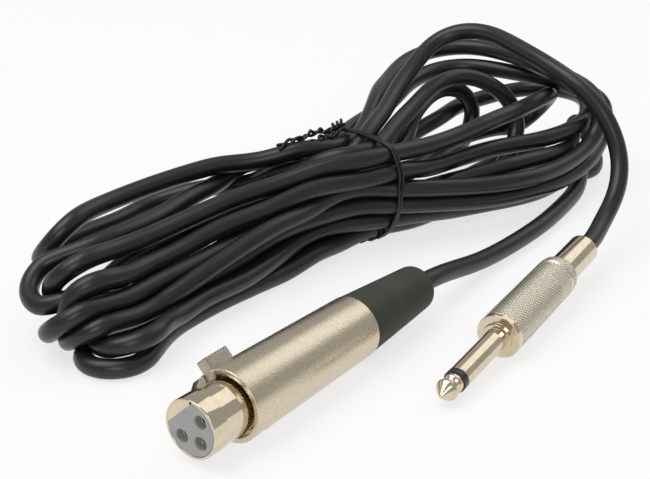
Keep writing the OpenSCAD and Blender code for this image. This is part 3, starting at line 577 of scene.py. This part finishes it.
corner_notch = block((-5.6, 4.4, -14), (-4.7, 5.3, -12.6))
finished("xlr_nose_sleeve", sleeve, on_xlr, bright_nickel, adds=[plate],
         cuts=[arm_slot, corner_notch], bevel=0.07, nodes=("xlr_nose",), crease=40)

# ---- XLR insert and contacts ----
# A light grey moulding that fills the sleeve, cut flat under the plate, with three deep holes
# on a triangle. A turned brass socket stands a little back in each hole.
INSERT_R, INSERT_FRONT, INSERT_END = 7.1, -13.25, 13
INSERT_TOP, INSERT_LOW_TOP, INSERT_STEP = 4.7, 4, -8.8
CONTACTS = ((-4.1, 0), (4.1, 0), (0, -4.1))
MOUTH_R, HOLE_R, SEAT_HOLE_R = 1.98, 1.78, 1.66  # each hole narrows twice on its way in
SOCKET_R, SOCKET_BORE_R, SOCKET_FRONT, SOCKET_END = 1.61, 1.21, -11.2, 17
SOCKET_FLOOR, CUP_FLOOR, CUP_R = -1.9, 13, 1.11  # the pin's bore ends, the solder cup begins
grey_plastic = new_material("grey_plastic", (0.34, 0.34, 0.33), 0.42, vary=0.06, vary_scale=300,
                            rough_vary=0.05, grain=0.1, grain_scale=2600)
plated_brass = new_material("plated_brass", (0.78, 0.68, 0.48), 0.2, metallic=1.0, vary=0.08,
                            vary_scale=900, rough_vary=0.06, grain=0.06, grain_scale=2500)
holes = []
for x, y in CONTACTS:
    hole = lathe([(0, -15), (MOUTH_R, -15), (MOUTH_R, -13.2), (HOLE_R, -13), (HOLE_R, -11.4),
                  (SEAT_HOLE_R, -11.3), (SEAT_HOLE_R, 14), (0, 14)], steps=48)
    bmesh.ops.translate(hole, vec=(x, y, 0), verts=hole.verts)
    holes.append(hole)
insert = lathe(rounded([(0, INSERT_FRONT), (INSERT_R, INSERT_FRONT, 0.2), (INSERT_R, INSERT_END),
                        (0, INSERT_END)]), steps=128)
flats = [block((-9, INSERT_TOP, -15), (9, 9, 15)),
         block((-9, INSERT_LOW_TOP, INSERT_STEP), (9, 9, 15))]
finished("xlr_insert_moulding", insert, on_xlr, grey_plastic,
         cuts=[*flats, *holes], bevel=0.12, nodes=("xlr_insert",), crease=40)
for k, (x, y) in enumerate(CONTACTS, 1):
    socket = lathe(rounded([
        (SOCKET_BORE_R, SOCKET_FRONT, 0.15), (SOCKET_R, SOCKET_FRONT, 0.15), (SOCKET_R, SOCKET_END),
        (CUP_R, SOCKET_END), (CUP_R, CUP_FLOOR), (0.3, CUP_FLOOR - 0.4), (0.3, SOCKET_FLOOR),
        (SOCKET_BORE_R, SOCKET_FLOOR)]), closed=True, steps=48)
    bmesh.ops.translate(socket, vec=(x, y, 0), verts=socket.verts)
    finished(f"xlr_socket_{k}", socket, on_xlr, plated_brass,
             nodes=(f"xlr_contact_{k}",))

# ---- Thumb latch ----
# One pressed and plated steel lever. Its thumb tab stands up at the shell's front rim, with a
# smooth face and saw teeth along its top, and its hooked arm runs forward in the nose's slot.
TAB_FRONT, TAB_BACK, TAB_TOP = 0.8, 8.8, 12.8
TEETH, TOOTH_PITCH, TOOTH_DEEP = 6, 1.05, 0.8
ARM_LOW, ARM_HIGH, ARM_FRONT, ARM_END = 6.3, 7.2, -7.5, 15.2
LEVER_HALF, CATCH_HALF, CATCH_TOP = 1.8, 1.4, 9.2
PIVOT_R, PIVOT_Y, PIVOT_Z = 1.25, 6.25, 15.5


def slab(outline, low, high):
    """An outline of (y, z) points made thick across x."""
    work = bmesh.new()
    face = work.faces.new([work.verts.new((low, y, z)) for y, z in outline])
    moved = bmesh.ops.extrude_face_region(work, geom=[face])
    for v in (g for g in moved["geom"] if isinstance(g, bmesh.types.BMVert)):
        v.co.x = high
    bmesh.ops.recalc_face_normals(work, faces=work.faces)
    return work


latch_steel = new_material("latch_steel", (0.4, 0.35, 0.28), 0.28, metallic=1.0, vary=0.14,
                           vary_scale=1500, rough_vary=0.1, grain=0.45, grain_scale=3600)
lever = [(ARM_LOW, ARM_END), (ARM_LOW, ARM_FRONT), (ARM_HIGH, ARM_FRONT), (ARM_HIGH, TAB_FRONT),
         (TAB_TOP - 0.3, TAB_FRONT), (TAB_TOP, TAB_FRONT + 0.3)]
for k in range(TEETH):
    z = TAB_FRONT + 1.3 + k * TOOTH_PITCH
    lever += [(TAB_TOP, z), (TAB_TOP - TOOTH_DEEP, z + 0.3), (TAB_TOP, z + 0.85)]
lever += [(TAB_TOP, TAB_BACK - 0.2), (TAB_TOP - 0.2, TAB_BACK), (ARM_HIGH, TAB_BACK),
          (ARM_HIGH, ARM_END)]
catch = slab([(6.6, -7.4), (CATCH_TOP, -3.7), (CATCH_TOP, -2.5), (6.6, -2.5)],
             -CATCH_HALF, CATCH_HALF)
pivot = lathe([(0, -LEVER_HALF), (PIVOT_R, -LEVER_HALF), (PIVOT_R, LEVER_HALF), (0, LEVER_HALF)],
              steps=48)
for v in pivot.verts:
    v.co = (v.co.z, PIVOT_Y + v.co.x, PIVOT_Z + v.co.y)
finished("latch_lever", slab(lever, -LEVER_HALF, LEVER_HALF), on_xlr, latch_steel,
         adds=[catch, pivot], bevel=0.09, nodes=("xlr_latch",), body="latch", crease=25)

# ---- Boot ----
# A moulded dark grey-green rubber boot with a matt skin, plugged into the back of the shell and
# tapering to a rounded shoulder, where the cable leaves it.
BOOT_R, BOOT_END_R, PLUG_R, BOOT_BORE_R = 8.6, 6.4, 7.65, 2.85
PLUG_START, BOOT_SEAT = 45, 51.55
boot_rubber = new_material("boot_rubber", (0.047, 0.05, 0.039), 0.62, vary=0.12, vary_scale=90,
                           rough_vary=0.06, grain=0.22, grain_scale=1600, Specular_IOR_Level=0.25)
boot = lathe(rounded([
    (BOOT_BORE_R, PLUG_START), (PLUG_R, PLUG_START), (PLUG_R, BOOT_SEAT), (BOOT_R, BOOT_SEAT, 0.15),
    (BOOT_END_R, BOOT_END, 2.3), (BOOT_BORE_R, BOOT_END, 0.4)]), closed=True, steps=128)
finished("boot_moulding", boot, on_xlr, boot_rubber, nodes=("xlr_boot",), crease=50)

# ---- Jack tip, ring and shaft ----
# The turned and plated tip with its ball shoulder and neck, the black ring that keeps it from
# the shaft, and the polished shaft, which ends in a small step on a broad flange.
SHAFT_R, SHAFT_START, SHAFT_END, SHAFT_BORE_R = 3.175, -22.9, -1.2, 2.2
STEP_R, FLANGE_R, FLANGE_BACK = 4.2, 6.35, 1.6
THREAD_R, THREAD_END = 5.3, 9
RING_START, RING_BORE_R, RING_TUBE_R = -25, 1.25, 2.15
ROD_R, ROD_END = 1.2, 11.6
jack_side = JACK_AXIS.cross(Vector((0, 0, 1))).normalized()
jack_up = jack_side.cross(JACK_AXIS)


def on_jack(p):
    """A point from the axis: x to the side, y up, z from the flange to the cable.

    The three directions are left-handed, so what it places has its faces turned inward.
    """
    return JACK_ORIGIN + p[0] * jack_side + p[1] * jack_up + p[2] * JACK_AXIS


tip = lathe(rounded([
    (0, -32.6), (0.45, -32.55, 0.15), (3.05, -29.4, 0.5), (3.1, -28.75, 0.3), (2.1, -27.6, 0.35),
    (2.1, -27.1, 0.25), (2.85, -26.3, 0.35), (2.85, -25.02), (ROD_R, -25.02), (ROD_R, ROD_END),
    (0, ROD_END)]))
finished("jack_tip_turned", tip, on_jack, bright_nickel, nodes=("jack_tip",))
ring_black = new_material("ring_black", (0.02, 0.02, 0.023), 0.3, vary=0.15, vary_scale=900,
                          rough_vary=0.06, grain=0.05, grain_scale=2500)
ring_turned = lathe(rounded([
    (RING_BORE_R, RING_START), (SHAFT_R, RING_START, 0.12), (SHAFT_R, SHAFT_START),
    (RING_TUBE_R, SHAFT_START), (RING_TUBE_R, THREAD_END), (RING_BORE_R, THREAD_END)]), closed=True)
finished("jack_ring", ring_turned, on_jack, ring_black, nodes=("jack_insulator",))
shaft = lathe(rounded([
    (SHAFT_BORE_R, SHAFT_START), (SHAFT_R, SHAFT_START, 0.08), (SHAFT_R, SHAFT_END, 0.1),
    (STEP_R, SHAFT_END, 0.2), (STEP_R, 0, 0.12), (FLANGE_R, 0, 0.25), (FLANGE_R, FLANGE_BACK, 0.12),
    (THREAD_R, FLANGE_BACK), (THREAD_R, THREAD_END), (SHAFT_BORE_R, THREAD_END)]),
    closed=True, steps=128)
finished("jack_shaft", shaft, on_jack, bright_nickel, nodes=("jack_sleeve",))

# ---- Jack barrel ----
# A brass cover screwed on behind the flange, with a fine diamond knurl that stops at a line
# turned near its rear and starts again on the rounded shoulder, and a plain polished tail.
BARREL_START, TAIL_R, TAIL_BORE_R, TAIL_END = 1.65, 4.5, 3.05, 56.1
KNURLS, KNURL_PITCH, KNURL_DEPTH, CUTS = 34, 1.15, 0.3, 6
KNURL_START, KNURL_STOP, LINE_START, LINE_STOP = 1.9, 39.2, 34.5, 35.4
knurled_brass = new_material("knurled_brass", (0.76, 0.69, 0.57), 0.2, metallic=1.0, vary=0.08,
                             vary_scale=1400, rough_vary=0.06, grain=0.08, grain_scale=3000)
outline = rounded([
    (6.05, BARREL_START), (6.38, BARREL_START, 0.25), (6.16, 34.6, 0.2), (5.95, 34.8),
    (5.95, 35.1, 0.1), (6.1, 35.3, 0.2), (6.08, 38.2, 1.6), (5.0, 39.6, 0.5), (4.6, 39.65)])
wall = [Vector(outline[0])]
for a, b in zip(outline, outline[1:]):
    parts = max(1, round((b - a).length * CUTS / KNURL_PITCH))
    wall += [a.lerp(b, k / parts) for k in range(1, parts + 1)]
barrel = bmesh.new()
around = KNURLS * CUTS
rows, along = [], 0.0
for k, p in enumerate(wall):
    along += (p - wall[k - 1]).length if k else 0
    fade = min(1, max(0, (p.y - KNURL_START) / 0.3)) * min(1, max(0, (KNURL_STOP - p.y) / 0.5))
    if LINE_START < p.y < LINE_STOP:
        fade = 0
    row = []
    for i in range(around):
        turn = i / CUTS
        ways = (turn + along / KNURL_PITCH, turn - along / KNURL_PITCH)
        deep = max(1 - 2 * abs((way + 0.5) % 1 - 0.5) for way in ways)
        r = p.x - fade * KNURL_DEPTH * max(0, deep * 2 - 1)
        a = 2 * math.pi * i / around
        row.append(barrel.verts.new((r * math.cos(a), r * math.sin(a), p.y)))
    rows.append(row)
for lower, upper in zip(rows, rows[1:]):
    for i in range(around):
        j = (i + 1) % around
        barrel.faces.new((lower[i], lower[j], upper[j], upper[i]))
finished("jack_barrel_knurl", barrel, on_jack, knurled_brass,
         nodes=("jack_barrel",), crease=180)
tail = lathe(rounded([
    (5.35, BARREL_START), (6.1, BARREL_START), (6.05, 1.7), (5.9, 34), (5.0, 39.5), (TAIL_R, 39.6),
    (TAIL_R, TAIL_END, 0.45), (TAIL_BORE_R, TAIL_END, 0.2), (TAIL_BORE_R, 38.1), (5.6, 38.1),
    (5.6, 9.5), (5.35, 9.5)]), closed=True, steps=128)
finished("jack_barrel_tail", tail, on_jack, bright_nickel, nodes=("jack_barrel",))

# ---- Inner parts ----
# What the shell and the barrel hide: pin, spring, screw, clamp, cores, washer, lug, earth strip
# and paper liner. They stay as they were modelled, each in its own finish.
plain_steel = new_material("plain_steel", (0.5, 0.5, 0.5), 0.35, metallic=1.0, vary=0.08,
                           vary_scale=900, rough_vary=0.08, grain=0.1, grain_scale=3000)
black_nylon = new_material("black_nylon", (0.03, 0.03, 0.032), 0.5, vary=0.15, vary_scale=500,
                           rough_vary=0.06, grain=0.15, grain_scale=2000)
fibre_board = new_material("fibre_board", (0.06, 0.045, 0.035), 0.7, vary=0.25, vary_scale=1500,
                           rough_vary=0.06, grain=0.3, grain_scale=2500)
liner_paper = new_material("liner_paper", (0.62, 0.58, 0.47), 0.75, vary=0.08, vary_scale=700,
                           rough_vary=0.05, grain=0.25, grain_scale=2500)
core_red = new_material("core_red", (0.42, 0.06, 0.04), 0.45, vary=0.12, vary_scale=600,
                        rough_vary=0.06, grain=0.08, grain_scale=2000)
for node, material in (
    ("xlr_latch_pin", plain_steel), ("xlr_latch_spring", plain_steel),
    ("xlr_set_screw", plain_steel), ("xlr_cable_clamp", black_nylon), ("xlr_cores", core_red),
    ("jack_washer", fibre_board), ("jack_tip_lug", plated_brass),
    ("jack_ground_strip", plated_brass), ("jack_liner", liner_paper), ("jack_cores", core_red),
):
    part = bpy.data.objects[node]
    part.data.materials.clear()
    part.data.materials.append(material)

# ---- Table and light ----
# A plain white table that runs out of sight, and soft light from above and from both sides.
FLOOR_MIDDLE, FLOOR_HALF = (0.4, 0.4, 0), 3
AIM = Vector((0.03, 0.03, 0.01))
WORLD_LIGHT = 0.45
TABLE_GLOW = 0.72  # how much of its own white the table shows to the eye and in the metal
LAMPS = (  # name, place, width and power
    ("light_above", (-0.3, 0.35, 1.15), 1.1, 8),
    ("light_behind", (0.85, -0.1, 0.85), 0.9, 1.7),
    ("light_near", (-0.9, -0.75, 0.7), 0.6, 3),
)
floor_mesh = bmesh.new()
bmesh.ops.create_grid(floor_mesh, x_segments=1, y_segments=1, size=FLOOR_HALF)
floor = as_object(floor_mesh, "table_top")
floor.location = FLOOR_MIDDLE
white = bpy.data.materials.new("white_table")
white.use_nodes = True
nodes, links = white.node_tree.nodes, white.node_tree.links
table_shader = nodes["Principled BSDF"]
table_shader.inputs["Base Color"].default_value = (0.93, 0.93, 0.93, 1)
table_shader.inputs["Roughness"].default_value = 0.7
glow = nodes.new("ShaderNodeEmission")
glow.inputs["Strength"].default_value = 1.0
rays = nodes.new("ShaderNodeLightPath")
seen = nodes.new("ShaderNodeMath")
seen.operation = "MAXIMUM"
share = nodes.new("ShaderNodeMath")
share.operation = "MULTIPLY"
share.inputs[1].default_value = TABLE_GLOW
mix = nodes.new("ShaderNodeMixShader")
links.new(rays.outputs["Is Camera Ray"], seen.inputs[0])
links.new(rays.outputs["Is Glossy Ray"], seen.inputs[1])
links.new(seen.outputs["Value"], share.inputs[0])
links.new(share.outputs["Value"], mix.inputs["Fac"])
links.new(table_shader.outputs["BSDF"], mix.inputs[1])
links.new(glow.outputs["Emission"], mix.inputs[2])
links.new(mix.outputs["Shader"], nodes["Material Output"].inputs["Surface"])
floor.data.materials.append(white)
floor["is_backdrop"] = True
world = bpy.data.worlds.new("studio")
world.use_nodes = True
world.node_tree.nodes["Background"].inputs["Color"].default_value = (1, 1, 1, 1)
world.node_tree.nodes["Background"].inputs["Strength"].default_value = WORLD_LIGHT
bpy.context.scene.world = world
for name, place, width, power in LAMPS:
    lamp = bpy.data.lights.new(name, "AREA")
    lamp.shape = "DISK"
    lamp.size = width
    lamp.energy = power
    light = bpy.data.objects.new(name, lamp)
    light.location = place
    light.rotation_euler = (AIM - Vector(place)).to_track_quat("-Z", "Y").to_euler()
    bpy.context.scene.collection.objects.link(light)

low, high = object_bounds()
